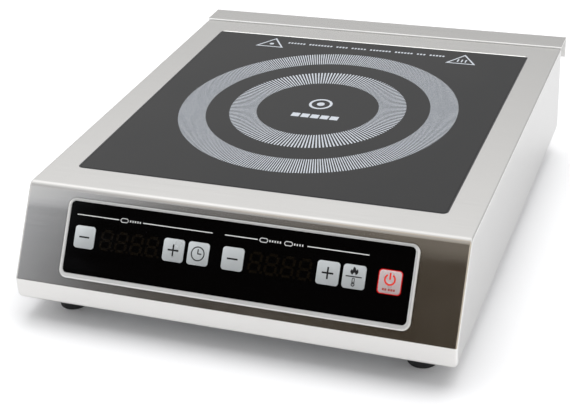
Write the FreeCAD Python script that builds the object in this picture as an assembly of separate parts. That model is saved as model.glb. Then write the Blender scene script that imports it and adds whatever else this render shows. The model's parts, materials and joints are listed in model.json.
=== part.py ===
import FreeCAD
import Part
import math
import os

# Countertop induction hob, modelled as the separate pieces it is assembled from.
# Row frame in millimetres: X to the right, Y to the back, Z up. The origin is the centre of the
# bounding box's base, so the feet stand on z = 0 and the control panel faces -Y.
# Every function below makes one sub-part, or one set of like sub-parts, and main() writes each
# to its own STEP file.

V = FreeCAD.Vector

# ---- driving dimensions -------------------------------------------------------------------------
WIDTH = 330.0               # casing, side to side
FRONT_Y = -199.11           # lower strip, and foot of the sloped front
LIP_BACK_Y = 199.11         # back of the rear lip
FOOT_H = 17.0               # clearance under the casing
TOP_Z = 93.0                # top plate and glass
SLOPE_FOOT_Z = 32.8         # where the sloped front meets the lower strip
SLOPE_TOP_Y = -160.11       # where the sloped front meets the top plate
BODY_BACK_Y = 175.5         # back of the folded casing
SHEET = 1.0                 # stainless sheet
BEND_R = 2.0                # outer bend radius
TOP_BEND_R = 6.0            # bend between the top plate and the sloped front
UNDER_BEND_R = 4.0          # bend between a side and its return under the base
FLANGE = 9.0                # width of the casing's inward returns
GAP = 0.2                   # general assembly clearance

# Cooking surface
GLASS = 280.0               # square glass-ceramic plate
GLASS_T = 4.0
GLASS_R = 3.0
GLASS_Y = 10.0              # centre of the glass, the coil and the printed rings
SEAL_W = 1.2                # silicone joint around the glass
SEAL_BED = 0.2              # silicone under the glass

# Rear lip
LIP_FRONT_Y = 174.0
LIP_T = 1.2
LIP_NOSE_R = 1.0            # rounded front edge
LIP_SKIRT_Z = 76.0          # lower edge of the down-turned skirt

# Control panel, in its own frame: x across, y up the slope from its foot, z out of the face
SLOPE_RISE = TOP_Z - SLOPE_FOOT_Z
SLOPE_RUN = SLOPE_TOP_Y - FRONT_Y
SLOPE_ANGLE = math.degrees(math.atan2(SLOPE_RISE, SLOPE_RUN))
PANEL_X = 1.1               # the panel sits a little to the right of the middle
BEZEL_W = 261.8
BEZEL_H = 58.0
BEZEL_Y = 35.3
BEZEL_R = 6.0
RIM_H = 1.7                 # how far the bezel stands out of the casing
RIM_ROUND = 1.5             # outer edge of the rim
MOUTH_ROUND = 0.4           # inner edge of the rim
BEZEL_INSET = 2.0           # from the rim's edge to the body inside the casing
BOSS_SPREAD = (122.4, 21.9)  # screw bosses from the window's centre
WINDOW_W = 256.4            # opening of the bezel
WINDOW_H = 52.3
WINDOW_Y = 36.15            # the bezel is wider below the window than above it
OVERLAY_TOP = 0.8           # face of the black window
OVERLAY_T = 1.5
OVERLAY_UNDER = OVERLAY_TOP - OVERLAY_T
LEDGE_T = 1.5
LEDGE_W = 3.0               # ledge that the window sits on
BOARD_FACE = -7.5           # front face of the control board
BOARD_T = 1.6
KEY_Y = 37.0                # centre line of the keys and of the displays
KEY = 16.0
ON_OFF_KEY = 15.2           # a little smaller, to leave room for its light guide
KEY_R = 2.2
KEY_GAP = 0.25
KEY_TOP = 1.6
KEY_DOME_R = 130.0          # the keys are slightly domed
KEY_TRAVEL = 0.5
KEY_X = {
    "key_timer_minus": -113.2,
    "key_timer_plus": -43.1,
    "key_timer_mode": -24.2,
    "key_power_minus": 1.8,
    "key_power_plus": 71.1,
    "key_function": 89.5,
    "key_on_off": 114.4,
}
SWITCH = 6.0                # tactile switch, square
SWITCH_TOP = -4.0
STEM_R = 1.7
STEM_GAP = 0.08
STEM_END = -4.8
LIGHT_W = 0.4               # light guide around the on/off key
LENS = (5.0, 2.2)
LENS_X = (-83.8, 22.5, 40.6)
LENS_Y = 52.8
DISPLAY_X = (-77.8, 36.4)
DISPLAY = (50.0, 19.0)      # four-digit module
DISPLAY_TOP = -1.2

# Base tray and what stands on it
TRAY_X = 160.5
TRAY_FRONT_Y = -195.5
TRAY_BACK_Y = 173.0
TRAY_Z = FOOT_H + SHEET     # the tray lies on the casing's returns
FLOOR_Z = TRAY_Z + SHEET
TRAY_UPSTAND = 11.0
FOOT_XY = [(x, y) for x in (-134.5, 134.5) for y in (-171.5, 152.0)]
FOOT_R = 12.0
FOOT_SCREW_Z = FOOT_H - 5.5  # seat of the screw head inside the foot
SCREW_R = 1.7               # casing screws
CASING_HEAD = (3.4, 2.2)    # radius and height of the screw heads
BOARD_HEAD = (2.6, 1.6)
M4_HEAD = (4.0, 2.4)
M4_R = 2.0
NUT_R = 4.0                 # across the corners
NUT_H = 3.2
CASING_SCREW_XY = [(x, y) for x in (-157.5, 157.5) for y in (-150.0, -50.0, 50.0, 140.0)]

# Fans
FAN = 92.0
FAN_T = 25.0
FAN_X = 64.0
FAN_Y = -120.0
FAN_BORE_R = 43.5
FAN_HUB_R = 18.0
FAN_BLADES = 7
FAN_HOLE = 41.25            # half the spacing of the corner holes
FAN_SCREW_R = 2.1
SHAFT_R = 1.6
SHAFT_GAP = 0.03

# Power board
MAIN = (-112.0, 112.0, -62.0, 122.0)
MAIN_Z = 27.0
MAIN_TOP = MAIN_Z + BOARD_T
STANDOFF_XY = [(x, y) for x in (-107.0, 107.0) for y in (-57.0, 30.0, 117.0)]
HEAT_SINK = (-70.0, 40.0, -40.0, 30.0)
SEMI_T = 5.0                # power semiconductors between board and heat sink
BOARD_SCREW_R = 1.25
TERMINAL_XY = [(60.0, 10.0), (86.0, 10.0)]
TERMINAL_TOP = MAIN_TOP + 12

# Coil
MICA_R = 116.0
MICA_T = 0.8
LITZ_R = 1.7
COIL_PITCH = 3.9
COIL_START_R = 32.0
COIL_HALF_TURNS = 38
COIL_Z = TOP_Z - GLASS_T - MICA_T - GAP - LITZ_R
CARRIER_TOP = COIL_Z - LITZ_R - 0.1
CARRIER_T = 3.0
THERMISTOR_FOOT = TOP_Z - GLASS_T - 10.0
POST_R = 122.0
POST_SHOULDER = 65.0        # the springs stand on it
SPRING_R = 4.2
SPRING_WIRE_R = 0.55
SPRING_TURNS = 5
FERRITE = (60.0, 14.0, 5.0)

# Leads
LEAD_BEND_R = 6.0
RIBBON_X = -12.0
RIBBON_W = 11.0
RIBBON_Z = 53.0             # the ribbon runs between the fans at this height

# Rear panel
GLAND_X = -125.0
GLAND_Z = 49.0
GLAND_BORE_R = 5.0
GLAND_R = 10.0              # thread through the rear panel
GLAND_FLANGE_R = 13.0
GLAND_FRONT_Y = BODY_BACK_Y - 9
GLAND_BACK_Y = BODY_BACK_Y + 17
SLOT = (3.6, 36.0)          # air outlet slots
SLOT_PITCH = 9.0
SLOT_COUNT = 26
SLOT_FIRST_X = -78.0
SLOT_Z = 55.0
REAR_PANEL_X = 163.5
REAR_SCREW_XZ = [(x, z) for x in (-159.0, 159.0) for z in (35.0, 69.0)] + [(-70.0, 87.5), (70.0, 87.5)]


# ---- helpers ------------------------------------------------------------------------------------
def box(x0, x1, y0, y1, z0, z1):
    return Part.makeBox(x1 - x0, y1 - y0, z1 - z0, V(x0, y0, z0))


def centred(width, depth, z0, z1, x=0.0, y=0.0):
    return box(x - width / 2, x + width / 2, y - depth / 2, y + depth / 2, z0, z1)


def disc(x, y, z0, z1, radius):
    return Part.makeCylinder(radius, z1 - z0, V(x, y, z0))


def tube_z(x, y, z0, z1, outer, inner):
    return disc(x, y, z0, z1, outer).cut(disc(x, y, z0, z1, inner))


def rounded(width, depth, radius, z0, z1, x=0.0, y=0.0):
    """A plate with round corners."""
    return column_fillet(centred(width, depth, z0, z1, x, y), radius)


def column_fillet(block, radius):
    """Rounds the upright edges of a block."""
    upright = [e for e in block.Edges if abs(e.tangentAt(e.FirstParameter).z) > 0.99]
    return block.makeFillet(radius, upright)


def joined(shapes):
    return shapes[0].multiFuse(shapes[1:]).removeSplitter() if len(shapes) > 1 else shapes[0]


def group(shapes):
    """Separate solids that share one node."""
    return Part.makeCompound(shapes)


def turned(shape, angle, x, y):
    copy = shape.copy()
    copy.rotate(V(x, y, 0), V(0, 0, 1), angle)
    return copy


def on_panel(shape):
    """Carries a shape from the control panel's frame to the row frame."""
    copy = shape.copy()
    copy.rotate(V(0, 0, 0), V(1, 0, 0), SLOPE_ANGLE)
    copy.translate(V(0, FRONT_Y, SLOPE_FOOT_Z))
    return copy


def path(points, bend):
    """Straight runs joined by tangent arcs of radius bend."""
    points = [V(*p) for p in points]
    edges = []
    start = points[0]
    for before, corner, after in zip(points, points[1:], points[2:]):
        back = (before - corner).normalize()
        ahead = (after - corner).normalize()
        half = back.getAngle(ahead) / 2
        reach = bend / math.tan(half)
        first = corner + back * reach
        last = corner + ahead * reach
        middle = corner + (back + ahead).normalize() * (bend / math.sin(half) - bend)
        edges.append(Part.LineSegment(start, first).toShape())
        edges.append(Part.Arc(first, middle, last).toShape())
        start = last
    edges.append(Part.LineSegment(start, points[-1]).toShape())
    return Part.Wire(edges)


def swept(points, bend, radius):
    """A round wire along a path."""
    first = V(*points[0])
    profile = Part.Wire(Part.makeCircle(radius, first, V(*points[1]) - first))
    return path(points, bend).makePipeShell([profile], True, False)


def pan_screw(x, y, head_z, head_r, head_h, shank_r, length, down=False):
    """A pan-head screw on Z. The head bears on head_z and the shank runs away from it."""
    sign = -1 if down else 1
    head = Part.makeCylinder(head_r, head_h, V(x, y, head_z), V(0, 0, -sign))
    rim = [e for e in head.Edges if abs(e.BoundBox.ZMin - (head_z - sign * head_h)) < 1e-6]
    rim = [e for e in rim if e.Closed and e.BoundBox.ZLength < 1e-6]
    head = head.makeFillet(head_h * 0.5, rim)
    shank = Part.makeCylinder(shank_r, length, V(x, y, head_z), V(0, 0, sign))
    slot_z = sorted((head_z - sign * head_h, head_z - sign * head_h * 0.5))
    screw = head.fuse(shank).removeSplitter()
    for width, depth in ((head_r, 0.8), (0.8, head_r)):
        screw = screw.cut(centred(width, depth, slot_z[0] - 0.01, slot_z[1], x, y))
    return screw


def hex_nut(x, y, z):
    """An M4 nut standing on z."""
    corners = [(math.cos(math.radians(a)), math.sin(math.radians(a))) for a in range(0, 361, 60)]
    hexagon = Part.Face(Part.makePolygon([V(x + NUT_R * c, y + NUT_R * s, z) for c, s in corners]))
    return hexagon.extrude(V(0, 0, NUT_H)).cut(disc(x, y, z - 1, z + NUT_H + 1, M4_R + 0.05))


# ---- casing -------------------------------------------------------------------------------------
def casing_block(inset):
    """The casing's outer form, or the same form inset by the sheet, with its bends rounded."""
    corners = [
        (FRONT_Y, FOOT_H),
        (FRONT_Y, SLOPE_FOOT_Z),
        (SLOPE_TOP_Y, TOP_Z),
        (BODY_BACK_Y, TOP_Z),
        (BODY_BACK_Y, FOOT_H),
    ]
    outline = Part.makePolygon([V(-WIDTH / 2 + inset, y, z) for y, z in corners + corners[:1]])
    if inset:
        outline = outline.makeOffset2D(-inset)
    block = Part.Face(outline).extrude(V(WIDTH - 2 * inset, 0, 0))

    def at_top_bend(edge):
        ends = edge.BoundBox
        return ends.XLength > WIDTH / 2 and ends.ZMin > SLOPE_FOOT_Z + 20 and ends.YMax < SLOPE_TOP_Y + 10

    def under_side(edge):
        ends = edge.BoundBox
        return ends.YLength > WIDTH / 2 and ends.ZMax < FOOT_H + inset + 0.1

    def sharp(edge):
        """True between two flat faces, so not along a bend that is already rounded."""
        faces = block.ancestorsOfType(edge, Part.Face)
        return all(face.Surface.TypeId == "Part::GeomPlane" for face in faces)

    block = block.makeFillet(UNDER_BEND_R - inset, [e for e in block.Edges if under_side(e)])
    block = block.makeFillet(TOP_BEND_R - inset, [e for e in block.Edges if at_top_bend(e)])
    return block.makeFillet(BEND_R - inset, [e for e in block.Edges if sharp(e)])


def top_casing():
    """Folded and welded stainless casing: top plate, sides, sloped front, lower strip and returns."""
    shell = casing_block(0.0).cut(casing_block(SHEET))
    inner_x = WIDTH / 2 - SHEET
    opening = GLASS + 2 * SEAL_W
    bezel_inset = 2 * (BEZEL_INSET - GAP)
    cuts = [
        rounded(opening, opening, GLASS_R + SEAL_W, TOP_Z - 5, TOP_Z + 5, 0, GLASS_Y),
        on_panel(rounded(BEZEL_W - bezel_inset, BEZEL_H - bezel_inset, BEZEL_R - 2, -5, 5, PANEL_X, BEZEL_Y)),
        rounded(2 * (inner_x - FLANGE), TRAY_BACK_Y - FRONT_Y - 2 * FLANGE, 4, 5, TRAY_Z + 2, 0,
                (TRAY_BACK_Y + FRONT_Y) / 2),
        box(-inner_x + FLANGE, inner_x - FLANGE, BODY_BACK_Y - 3, BODY_BACK_Y + 3,
            TRAY_Z + 3, TOP_Z - SHEET - FLANGE),
    ]
    cuts += [disc(x, y, 5, TRAY_Z + 1, SCREW_R + 0.1) for x, y in CASING_SCREW_XY]
    cuts += [
        Part.makeCylinder(SCREW_R + 0.1, 10, V(x, BODY_BACK_Y - 5, z), V(0, 1, 0)) for x, z in REAR_SCREW_XZ
    ]
    return shell.cut(Part.makeCompound(cuts))


def rear_lip():
    """Strip behind the top plate with a rounded front edge, turned down at the back over the air outlet."""
    skirt_front_y = LIP_BACK_Y - LIP_T
    corners = [
        (LIP_FRONT_Y, TOP_Z),
        (skirt_front_y, TOP_Z),
        (skirt_front_y, LIP_SKIRT_Z),
        (LIP_BACK_Y, LIP_SKIRT_Z),
        (LIP_BACK_Y, TOP_Z + LIP_T),
        (LIP_FRONT_Y, TOP_Z + LIP_T),
    ]
    outline = Part.makePolygon([V(-WIDTH / 2, y, z) for y, z in corners + corners[:1]])
    strip = Part.Face(outline).extrude(V(WIDTH, 0, 0))
    folds = [e for e in strip.Edges if e.BoundBox.XLength > WIDTH - 1 and e.BoundBox.ZMin > TOP_Z + 1]
    return strip.makeFillet(LIP_NOSE_R, folds)


def gland_disc(radius, y0, y1):
    """A disc on the cable gland's axis."""
    return Part.makeCylinder(radius, y1 - y0, V(GLAND_X, y0, GLAND_Z), V(0, 1, 0))


def rear_panel():
    """Back wall with the air outlet slots and the cable entry."""
    slot_w, slot_h = SLOT
    panel = box(-REAR_PANEL_X, REAR_PANEL_X, BODY_BACK_Y, BODY_BACK_Y + SHEET, TRAY_Z + 1, TOP_Z - 1.5)
    cuts = []
    for i in range(SLOT_COUNT):
        x = SLOT_FIRST_X + i * SLOT_PITCH
        cuts.append(box(x - slot_w / 2, x + slot_w / 2, BODY_BACK_Y - 2, BODY_BACK_Y + 4,
                        SLOT_Z - slot_h / 2, SLOT_Z + slot_h / 2))
        for z in (SLOT_Z - slot_h / 2, SLOT_Z + slot_h / 2):
            cuts.append(Part.makeCylinder(slot_w / 2, 6, V(x, BODY_BACK_Y - 2, z), V(0, 1, 0)))
    cuts.append(gland_disc(GLAND_R + 0.3, BODY_BACK_Y - 2, BODY_BACK_Y + 4))
    for x, z in REAR_SCREW_XZ:
        cuts.append(Part.makeCylinder(SCREW_R + 0.1, 6, V(x, BODY_BACK_Y - 2, z), V(0, 1, 0)))
    return panel.cut(cuts[0].multiFuse(cuts[1:]))


def fan_centres():
    return [(-FAN_X, FAN_Y), (FAN_X, FAN_Y)]


def grille_cut(x, y):
    """Ring slots of a fan's intake grille, crossed by four ribs."""
    rings = [tube_z(x, y, TRAY_Z - 1, FLOOR_Z + 1, r + 3.2, r) for r in (10.0, 16.5, 23.0, 29.5, 36.0)]
    cut = joined(rings)
    for angle in (0, 45, 90, 135):
        cut = cut.cut(turned(centred(92, 3.0, TRAY_Z - 2, FLOOR_Z + 2, x, y), angle, x, y))
    return cut


def base_tray():
    """Bottom pan with upstands and the two fan intake grilles."""
    top = FLOOR_Z + TRAY_UPSTAND
    pan = box(-TRAY_X, TRAY_X, TRAY_FRONT_Y, TRAY_BACK_Y, TRAY_Z, top)
    inner_x = TRAY_X - SHEET
    pan = pan.cut(box(-inner_x, inner_x, TRAY_FRONT_Y + SHEET, TRAY_BACK_Y - SHEET, FLOOR_Z, top + 1))
    cuts = [
        centred(5, 5, FLOOR_Z, top + 1, x, y) for x in (-TRAY_X, TRAY_X) for y in (TRAY_FRONT_Y, TRAY_BACK_Y)
    ]
    cuts += [grille_cut(x, y) for x, y in fan_centres()]
    holes = [(x, y, SCREW_R + 0.1) for x, y in CASING_SCREW_XY]
    holes += [(x, y, 2.2) for x, y in FOOT_XY]
    holes += [(x, y, 2.6) for x, y in post_centres() + STANDOFF_XY]
    holes += [(x + sx * FAN_HOLE, y + sy * FAN_HOLE, 2.3)
              for x, y in fan_centres() for sx in (-1, 1) for sy in (-1, 1)]
    cuts += [disc(x, y, TRAY_Z - 1, FLOOR_Z + 1, r) for x, y, r in holes]
    return pan.cut(Part.makeCompound(cuts))


# ---- cooking surface ----------------------------------------------------------------------------
def glass_plate():
    """Glass-ceramic plate with a small arris around its top edge."""
    plate = rounded(GLASS, GLASS, GLASS_R, TOP_Z - GLASS_T, TOP_Z, 0, GLASS_Y)
    arris = [e for e in plate.Edges if e.BoundBox.ZMin > TOP_Z - 0.01]
    return plate.makeChamfer(0.4, arris)


def glass_seal():
    """Silicone joint between glass and casing, with the thin bed that the glass lies on."""
    outer = GLASS + 2 * SEAL_W
    glass_under = TOP_Z - GLASS_T
    joint = rounded(outer, outer, GLASS_R + SEAL_W, glass_under, TOP_Z - 0.15, 0, GLASS_Y)
    joint = joint.cut(rounded(GLASS, GLASS, GLASS_R, glass_under - 1, TOP_Z + 1, 0, GLASS_Y))
    bed = rounded(outer, outer, GLASS_R + SEAL_W, glass_under - SEAL_BED, glass_under, 0, GLASS_Y)
    bed = bed.cut(rounded(GLASS - 12, GLASS - 12, GLASS_R, glass_under - 1, TOP_Z, 0, GLASS_Y))
    return joined([joint, bed])


def glass_support_frame():
    """Joggled steel frame under the top plate that carries the glass."""
    ledge_top = TOP_Z - GLASS_T - SEAL_BED
    plate_under = TOP_Z - SHEET
    wall = GLASS + 2 * SEAL_W + 0.4

    def square_ring(outer, inner, z0, z1):
        ring = rounded(outer, outer, GLASS_R + 2, z0, z1, 0, GLASS_Y)
        return ring.cut(rounded(inner, inner, GLASS_R + 1, z0 - 1, z1 + 1, 0, GLASS_Y))

    return joined([
        square_ring(wall + 22, wall, plate_under - SHEET, plate_under),
        square_ring(wall + 2 * SHEET, wall, ledge_top - SHEET, plate_under),
        square_ring(wall + 2 * SHEET, GLASS - 16, ledge_top - SHEET, ledge_top),
    ])


# ---- control panel ------------------------------------------------------------------------------
def bezel_boss_centres():
    dx, dy = BOSS_SPREAD
    return [(PANEL_X + sx * dx, WINDOW_Y + sy * dy) for sx in (-1, 0, 1) for sy in (-1, 1)]


def panel_bezel():
    """Moulded frame of the control panel: rim, window ledge, screw bosses and snap hooks."""
    body_w = BEZEL_W - 2 * BEZEL_INSET
    body_h = BEZEL_H - 2 * BEZEL_INSET
    rim = rounded(BEZEL_W, BEZEL_H, BEZEL_R, 0, RIM_H, PANEL_X, BEZEL_Y)
    rim = rim.makeFillet(RIM_ROUND, [e for e in rim.Edges if e.BoundBox.ZMin > RIM_H - 0.01])
    body = rounded(body_w, body_h, BEZEL_R - 2.2, BOARD_FACE, 0.5, PANEL_X, BEZEL_Y)
    frame = joined([rim, body])
    window = rounded(WINDOW_W, WINDOW_H, 3.4, OVERLAY_UNDER, RIM_H + 1, PANEL_X, WINDOW_Y)
    well = rounded(WINDOW_W - 2 * LEDGE_W, WINDOW_H - 2 * LEDGE_W, 2.0, OVERLAY_UNDER - LEDGE_T - 1,
                   OVERLAY_UNDER + 1, PANEL_X, WINDOW_Y)
    back = rounded(body_w - 3, body_h - 3, 2.0, BOARD_FACE - 1, OVERLAY_UNDER - LEDGE_T, PANEL_X, BEZEL_Y)
    frame = frame.cut(window).cut(well).cut(back)

    def at_mouth(edge):
        ends = edge.BoundBox
        return (ends.ZMin > RIM_H - 0.01 and abs(ends.Center.x - PANEL_X) < WINDOW_W / 2 + 0.1
                and abs(ends.Center.y - WINDOW_Y) < WINDOW_H / 2 + 0.1)

    frame = frame.makeFillet(MOUTH_ROUND, [e for e in frame.Edges if at_mouth(e)])
    bosses = [disc(x, y, BOARD_FACE, OVERLAY_UNDER - LEDGE_T, 2.6) for x, y in bezel_boss_centres()]
    hooks = []
    for x in (-90.0, -30.0, 30.0, 90.0):
        for side in (-1, 1):
            low, high = sorted((BEZEL_Y + side * body_h / 2, BEZEL_Y + side * (body_h / 2 + 1.2)))
            hooks.append(box(x - 4, x + 4, low, high, -3.4, -1.2))
    frame = joined([frame] + bosses + hooks)
    pilots = [disc(x, y, BOARD_FACE - 1, OVERLAY_UNDER - LEDGE_T, 1.3) for x, y in bezel_boss_centres()]
    return on_panel(frame.cut(Part.makeCompound(pilots)))


def panel_overlay():
    """Black window with an opening for each key and each indicator."""
    plate = rounded(WINDOW_W - 0.2, WINDOW_H - 0.2, 3.3, OVERLAY_UNDER, OVERLAY_TOP, PANEL_X, WINDOW_Y)
    cuts = []
    for name, x in KEY_X.items():
        side = light_ring_size() if name == "key_on_off" else KEY + 2 * KEY_GAP
        cuts.append(rounded(side, side, KEY_R + KEY_GAP, OVERLAY_UNDER - 1, OVERLAY_TOP + 1, x, KEY_Y))
    for x in LENS_X:
        cuts.append(rounded(LENS[0], LENS[1], 0.9, OVERLAY_UNDER - 1, OVERLAY_TOP + 1, x, LENS_Y))
    return on_panel(plate.cut(Part.makeCompound(cuts)))


def indicator_lenses():
    return on_panel(group([
        rounded(LENS[0], LENS[1], 0.9, OVERLAY_UNDER, OVERLAY_TOP, x, LENS_Y) for x in LENS_X
    ]))


def light_ring_size():
    return ON_OFF_KEY + 2 * KEY_GAP + 2 * LIGHT_W


def on_off_light_ring():
    """Red light guide around the on/off key."""
    x = KEY_X["key_on_off"]
    outer = light_ring_size()
    inner = outer - 2 * LIGHT_W
    ring = rounded(outer, outer, KEY_R + KEY_GAP, OVERLAY_UNDER, OVERLAY_TOP + 0.1, x, KEY_Y)
    return on_panel(ring.cut(rounded(inner, inner, KEY_R, OVERLAY_UNDER - 1, OVERLAY_TOP + 1, x, KEY_Y)))


def key(x, size):
    """Keycap with a retaining flange behind the window and a stem that presses the switch."""
    cap = rounded(size, size, KEY_R, OVERLAY_UNDER, KEY_TOP, x, KEY_Y)
    cap = cap.common(Part.makeSphere(KEY_DOME_R, V(x, KEY_Y, KEY_TOP - KEY_DOME_R)))
    cap = cap.makeFillet(0.5, [e for e in cap.Edges if e.BoundBox.ZMin > OVERLAY_TOP])
    flange = rounded(KEY + 1.4, KEY + 1.4, KEY_R, OVERLAY_UNDER - 1.0, OVERLAY_UNDER, x, KEY_Y)
    stem = disc(x, KEY_Y, STEM_END, OVERLAY_UNDER - 0.5, STEM_R)
    return on_panel(joined([cap, flange, stem]))


def key_switches():
    """Tactile switches on the control board, each with a well for its key's stem."""
    switches = []
    for x in KEY_X.values():
        body = centred(SWITCH, SWITCH, BOARD_FACE, SWITCH_TOP, x, KEY_Y)
        well = disc(x, KEY_Y, STEM_END - KEY_TRAVEL - 0.3, SWITCH_TOP + 1, STEM_R + STEM_GAP)
        switches.append(body.cut(well))
    return on_panel(group(switches))


def displays():
    """Four-digit LED modules for the timer and for the power or temperature."""
    width, height = DISPLAY
    return on_panel(group([centred(width, height, BOARD_FACE, DISPLAY_TOP, x, KEY_Y) for x in DISPLAY_X]))


def control_board():
    plate = centred(BEZEL_W - 5, BEZEL_H - 5, BOARD_FACE - BOARD_T, BOARD_FACE, PANEL_X, BEZEL_Y)
    holes = [disc(x, y, BOARD_FACE - 3, BOARD_FACE + 1, 1.6) for x, y in bezel_boss_centres()]
    return on_panel(plate.cut(Part.makeCompound(holes)))


def control_chips():
    """Microcontroller, two display drivers and the voltage regulator behind the control board."""
    back = BOARD_FACE - BOARD_T
    sites = [(-60.0, 42.0, 14.0, 10.0, 1.8), (-85.0, 38.0, 10.0, 6.5, 1.6), (45.0, 40.0, 10.0, 6.5, 1.6),
             (75.0, 46.0, 6.5, 6.0, 2.3)]
    return on_panel(group([centred(w, h, back - t, back, x, y) for x, y, w, h, t in sites]))


def buzzer():
    back = BOARD_FACE - BOARD_T
    can = disc(100.0, KEY_Y + 8, back - 7.0, back, 6.0)
    can = can.cut(disc(100.0, KEY_Y + 8, back - 8.0, back - 5.0, 1.0))
    return on_panel(can)


# ---- coil ---------------------------------------------------------------------------------------
def post_centres():
    return [(POST_R, GLASS_Y), (-POST_R, GLASS_Y), (0.0, GLASS_Y - POST_R), (0.0, GLASS_Y + POST_R)]


def coil_winding():
    """Flat litz spiral made of half turns, each larger than the last by half the pitch."""
    step = COIL_PITCH / 2
    edges = []
    for k in range(COIL_HALF_TURNS):
        radius = COIL_START_R + k * step
        centre = V(step if k % 2 else 0.0, GLASS_Y, COIL_Z)
        side = -1 if k % 2 else 1
        start = centre + V(side * radius, 0, 0)
        middle = centre + V(0, side * radius, 0)
        end = centre - V(side * radius, 0, 0)
        edges.append(Part.Arc(start, middle, end).toShape())
    profile = Part.Wire(Part.makeCircle(LITZ_R, V(COIL_START_R, GLASS_Y, COIL_Z), V(0, 1, 0)))
    return Part.Wire(edges).makePipeShell([profile], True, False)


def coil_end():
    """The centre of the winding's outer end."""
    step = COIL_PITCH / 2
    return V(step + COIL_START_R + (COIL_HALF_TURNS - 1) * step, GLASS_Y, COIL_Z)


def coil_carrier():
    """Spoked former under the winding, with a lug over each post and a notch for each lead."""
    low = CARRIER_TOP - CARRIER_T
    parts = [
        tube_z(0, GLASS_Y, low, CARRIER_TOP, 113.0, 99.0),
        tube_z(0, GLASS_Y, low, CARRIER_TOP, 30.0, 21.0),
    ]
    for i in range(8):
        parts.append(turned(box(25, 103, GLASS_Y - 8, GLASS_Y + 8, low, CARRIER_TOP), 45 * i, 0, GLASS_Y))
    for x, y in post_centres():
        parts.append(disc(x, y, low, CARRIER_TOP, 8.0))
        parts.append(centred(16, 16, low, CARRIER_TOP, x * 0.93, GLASS_Y + (y - GLASS_Y) * 0.93))
    carrier = joined(parts)
    end = coil_end()
    cuts = [disc(x, y, low - 1, CARRIER_TOP + 1, 2.3) for x, y in post_centres()]
    cuts.append(box(end.x - 4, end.x + 10, GLASS_Y + 9, GLASS_Y + 22, low - 1, CARRIER_TOP + 1))
    cuts.append(centred(8, 12, low - 1, CARRIER_TOP + 1, COIL_START_R, GLASS_Y - 5))
    return carrier.cut(Part.makeCompound(cuts))


def ferrite_bars():
    length, width, thick = FERRITE
    top = CARRIER_TOP - CARRIER_T
    bar = box(36, 36 + length, GLASS_Y - width / 2, GLASS_Y + width / 2, top - thick, top)
    return group([turned(bar, 45 * i, 0, GLASS_Y) for i in range(8)])


def mica_sheet():
    sheet_top = TOP_Z - GLASS_T
    return tube_z(0, GLASS_Y, sheet_top - MICA_T, sheet_top, MICA_R, 9.0)


def thermistor():
    """Glass temperature sensor in its silicone cap, held in the middle of the coil."""
    top = TOP_Z - GLASS_T
    cap = disc(0, GLASS_Y, top - 7.0, top, 7.0)
    cap = cap.makeFillet(1.0, [e for e in cap.Edges if e.BoundBox.ZMin > top - 0.01])
    holder = disc(0, GLASS_Y, THERMISTOR_FOOT, top - 7.0, 14.0)
    arm = box(-26, 26, GLASS_Y - 4, GLASS_Y + 4, THERMISTOR_FOOT, CARRIER_TOP - CARRIER_T)
    return joined([cap, holder, arm])


def coil_posts():
    """Clinched posts: a spigot in the tray, a wide shaft, and a stud through the carrier's lug."""
    posts = []
    for x, y in post_centres():
        posts.append(joined([
            disc(x, y, TRAY_Z, FLOOR_Z, 2.5),
            disc(x, y, FLOOR_Z, POST_SHOULDER, 5.5),
            disc(x, y, POST_SHOULDER, CARRIER_TOP + 3.4, 2.0),
        ]))
    return group(posts)


def coil_nuts():
    return group([hex_nut(x, y, CARRIER_TOP) for x, y in post_centres()])


def coil_springs():
    """Compression springs that hold the coil up against the glass, each a helix of short arcs."""
    low = POST_SHOULDER + SPRING_WIRE_R + 0.1
    height = CARRIER_TOP - CARRIER_T - SPRING_WIRE_R - 0.1 - low
    steps = 4 * SPRING_TURNS

    def point(x, y, part):
        angle = 2 * math.pi * SPRING_TURNS * part
        return V(x + SPRING_R * math.cos(angle), y + SPRING_R * math.sin(angle), low + height * part)

    def arc(x, y, i):
        return Part.Arc(point(x, y, i / steps), point(x, y, (i + 0.5) / steps), point(x, y, (i + 1) / steps))

    springs = []
    for x, y in post_centres():
        arcs = [arc(x, y, i).toShape() for i in range(steps)]
        rise = height / (2 * math.pi * SPRING_R * SPRING_TURNS)
        profile = Part.Wire(Part.makeCircle(SPRING_WIRE_R, point(x, y, 0), V(0, 1, rise)))
        springs.append(Part.Wire(arcs).makePipeShell([profile], True, False))
    return group(springs)


# ---- power electronics --------------------------------------------------------------------------
def main_board():
    plate = box(*MAIN, MAIN_Z, MAIN_TOP)
    return plate.cut(Part.makeCompound([disc(x, y, MAIN_Z - 1, MAIN_TOP + 1, 1.7) for x, y in STANDOFF_XY]))


def board_standoffs():
    posts = []
    for x, y in STANDOFF_XY:
        post = joined([disc(x, y, TRAY_Z, FLOOR_Z, 2.5), disc(x, y, FLOOR_Z, MAIN_Z, 3.2)])
        posts.append(post.cut(disc(x, y, FLOOR_Z + 1, MAIN_Z + 1, 1.3)))
    return group(posts)


def board_screws():
    """One kind of screw holds both circuit boards."""
    back = BOARD_FACE - BOARD_T
    on_base = [pan_screw(x, y, MAIN_TOP, *BOARD_HEAD, BOARD_SCREW_R, 6.0, down=True) for x, y in STANDOFF_XY]
    on_bezel = [pan_screw(x, y, back, *BOARD_HEAD, BOARD_SCREW_R, 6.0) for x, y in bezel_boss_centres()]
    return group(on_base + [on_panel(screw) for screw in on_bezel])


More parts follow.
